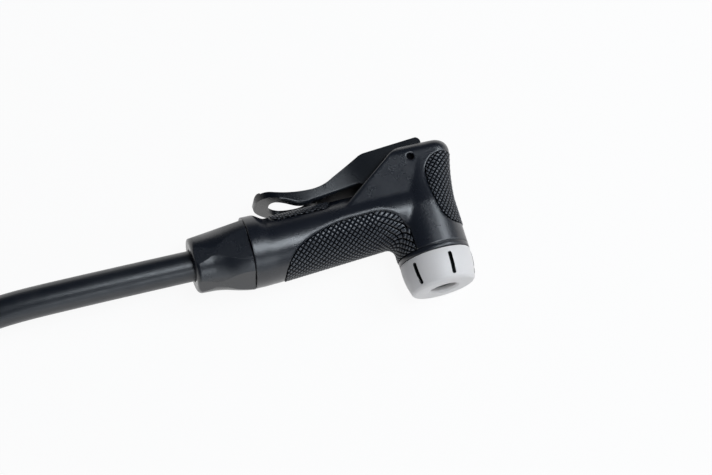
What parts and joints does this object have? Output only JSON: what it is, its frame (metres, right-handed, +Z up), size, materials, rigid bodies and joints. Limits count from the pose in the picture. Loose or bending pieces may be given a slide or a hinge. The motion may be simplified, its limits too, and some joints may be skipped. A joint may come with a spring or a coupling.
{
  "type": "portable tire inflator",
  "caption": "Tire inflator valve head on its side: round barrel with a screw cap, long neck with rubber grips, cam lever over it, collar, and a coiled air hose with a threaded nut.",
  "frame": {"origin": "bottom centre of the valve head's box without the hose, as the head lies on its side", "axes": "+X along the neck towards the crown, +Y along the valve axis towards the lever, +Z up, out of the side that faces up"},
  "size_m": [0.3124, 0.1157, 0.024],
  "materials": {
    "body_shell": "fine-grained matte moulding",
    "collar_shell": "fine-grained matte moulding",
    "grip_rubber": "diamond-textured soft grip",
    "lever_black": "semi-gloss",
    "pin_steel": "plain",
    "plunger_plastic": "smooth",
    "seal_rubber": "smooth",
    "core_brass": "turned",
    "gasket_rubber": "smooth",
    "washer_steel": "plain",
    "cap_plastic": "satin",
    "tail_brass": "turned",
    "clamp_plastic": "smooth",
    "hose_rubber": "satin",
    "ferrule_steel": "crimped",
    "nut_brass": "machined"
  },
  "bodies": {
    "head": {"housing": "body_shell", "belly_grip": "grip_rubber", "back_grip": "grip_rubber", "thumb_grip": "grip_rubber", "lever_pin": "pin_steel", "gasket": "gasket_rubber", "hose_barb": "tail_brass", "barb_seal": "seal_rubber", "hose_run": "hose_rubber", "hose_coil": "hose_rubber", "hose_tail": "hose_rubber", "hose_ferrule": "ferrule_steel", "hose_tailpiece": "tail_brass", "snap_ring": "pin_steel"},
    "lever": {"lever": "lever_black"},
    "plunger": {"plunger": "plunger_plastic", "plunger_seal_upper": "seal_rubber", "plunger_seal_lower": "seal_rubber", "core_pin": "core_brass"},
    "cap_carrier": {"gasket_washer": "washer_steel"},
    "cap": {"valve_cap": "cap_plastic"},
    "collar_carrier": {"clamp_ring": "clamp_plastic"},
    "collar": {"hose_collar": "collar_shell"},
    "nut": {"swivel_nut": "nut_brass", "nut_washer": "seal_rubber"}
  },
  "joints": [
    {"name": "lever_pivot", "type": "hinge", "parent": "head", "child": "lever", "pos_m": [0.03135, 0.01808, 0.012], "axis": [0, 0, -1], "range_deg": [0, 90]},
    {"name": "plunger_slide", "type": "slide", "parent": "head", "child": "plunger", "axis": [0, 1, 0], "range_m": [0, 0.002]},
    {"name": "cap_slide", "type": "slide", "parent": "head", "child": "cap_carrier", "axis": [0, -1, 0], "range_m": [0, 0.006]},
    {"name": "cap_turn", "type": "hinge", "parent": "cap_carrier", "child": "cap", "pos_m": [0.03185, -0.01932, 0.012], "axis": [0, -1, 0], "range_deg": [0, 1440]},
    {"name": "collar_slide", "type": "slide", "parent": "head", "child": "collar_carrier", "axis": [-1, 0, 0], "range_m": [0, 0.006]},
    {"name": "collar_turn", "type": "hinge", "parent": "collar_carrier", "child": "collar", "pos_m": [-0.03815, 0.00068, 0.012], "axis": [-1, 0, 0], "range_deg": [0, 1440]},
    {"name": "nut_spin", "type": "hinge", "parent": "head", "child": "nut", "pos_m": [-0.25597, 0.07988, 0.00973], "axis": [-0.0113, 0.9984, -0.0555], "continuous": true}
  ],
  "couplings": [
    {"joint": "plunger_slide", "follows": "lever_pivot", "m_per_rad": 0.0012732},
    {"joint": "cap_slide", "follows": "cap_turn", "m_per_rad": 0.00023873},
    {"joint": "collar_slide", "follows": "collar_turn", "m_per_rad": 0.00023873}
  ]
}
